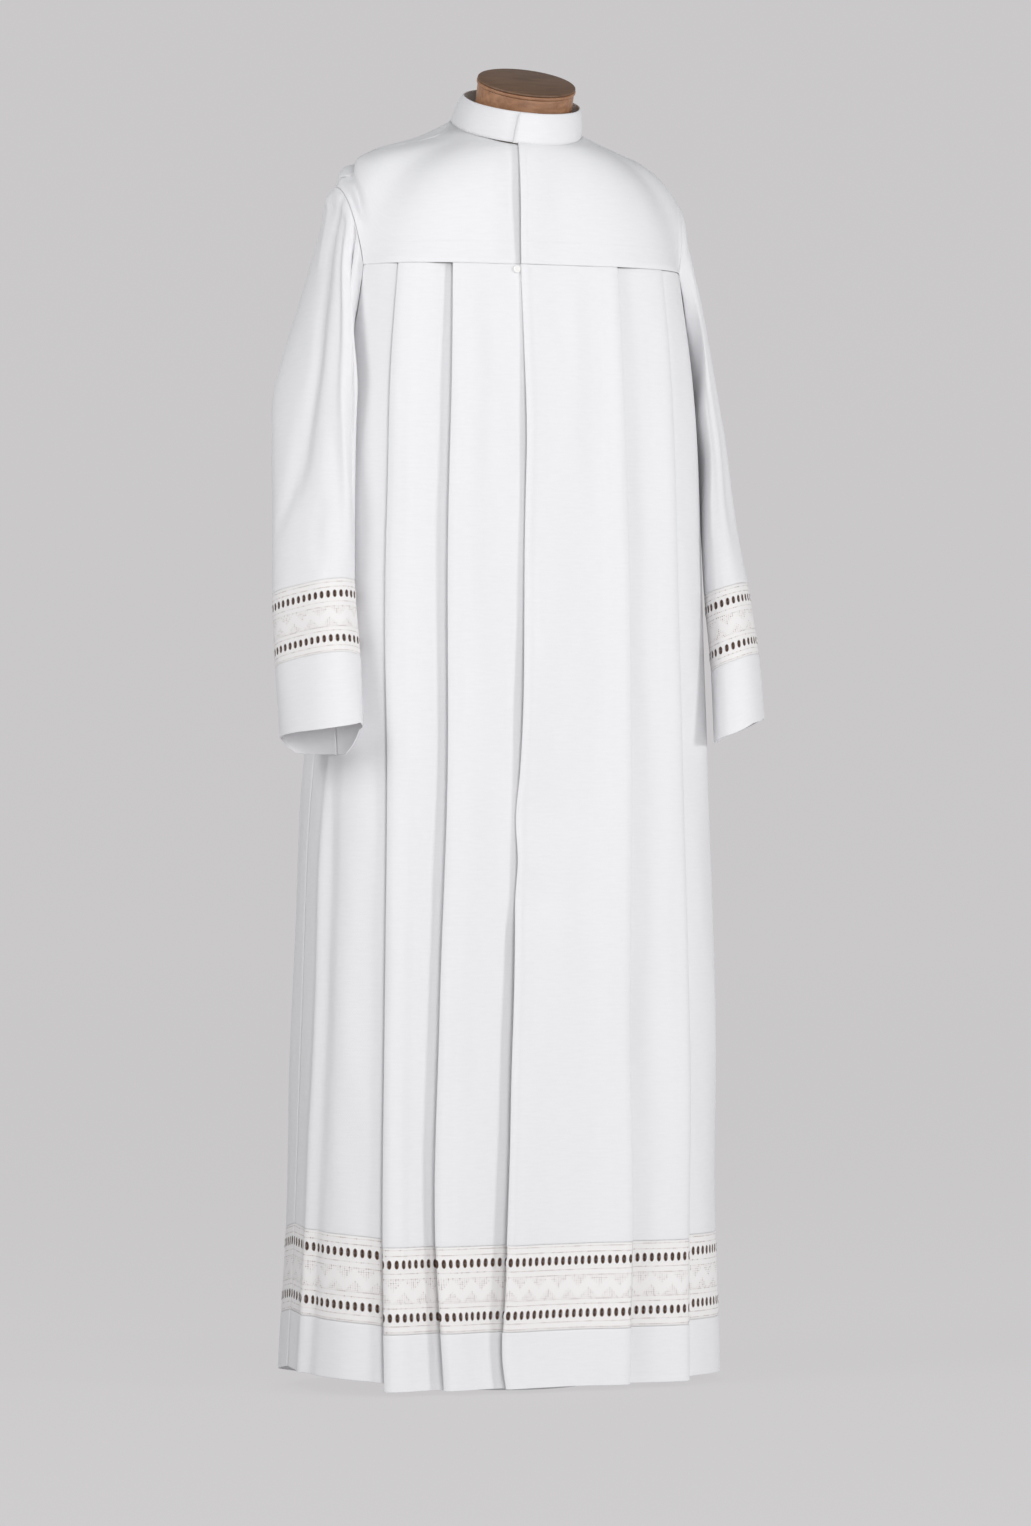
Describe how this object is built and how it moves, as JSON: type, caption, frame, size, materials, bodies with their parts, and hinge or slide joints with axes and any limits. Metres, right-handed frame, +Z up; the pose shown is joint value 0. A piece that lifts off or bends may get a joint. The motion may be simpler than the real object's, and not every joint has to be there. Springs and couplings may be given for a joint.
{
  "type": "alb on a limbless dress form",
  "caption": "White vestment with a stand collar, pleated skirt, long sleeves and lace bands, worn by a limbless dress form on a round base.",
  "frame": {"origin": "on the floor, under the middle of the object's extents", "axes": "+Z up, the wearer's front faces -Y and the wearer's left is +X"},
  "size_m": [0.5982, 0.2775, 1.5496],
  "materials": {
    "white_cloth": "crisp plain weave with a slight sheen",
    "lace": "openwork lace",
    "form_cloth": "plain linen cover",
    "wood": "turned and lightly varnished",
    "steel": "satin",
    "snap": "glossy white"
  },
  "bodies": {
    "root": {"collar_band": "white_cloth", "yoke_front_right": "white_cloth", "yoke_front_left": "white_cloth", "yoke_back": "white_cloth", "skirt_front_right": "white_cloth", "skirt_front_left": "white_cloth", "skirt_back": "white_cloth", "lace_front_right": "lace", "lace_front_left": "lace", "lace_back": "lace", "hem_front_right": "white_cloth", "hem_front_left": "white_cloth", "hem_back": "white_cloth", "sleeve_right": "white_cloth", "sleeve_left": "white_cloth", "sleeve_lace_right": "lace", "sleeve_lace_left": "lace", "cuff_right": "white_cloth", "cuff_left": "white_cloth", "form_torso": "form_cloth", "form_neck": "wood", "form_neck_cap": "wood", "stand_pole": "steel", "stand_base": "steel", "front_snap": "snap"}
  },
  "joints": []
}
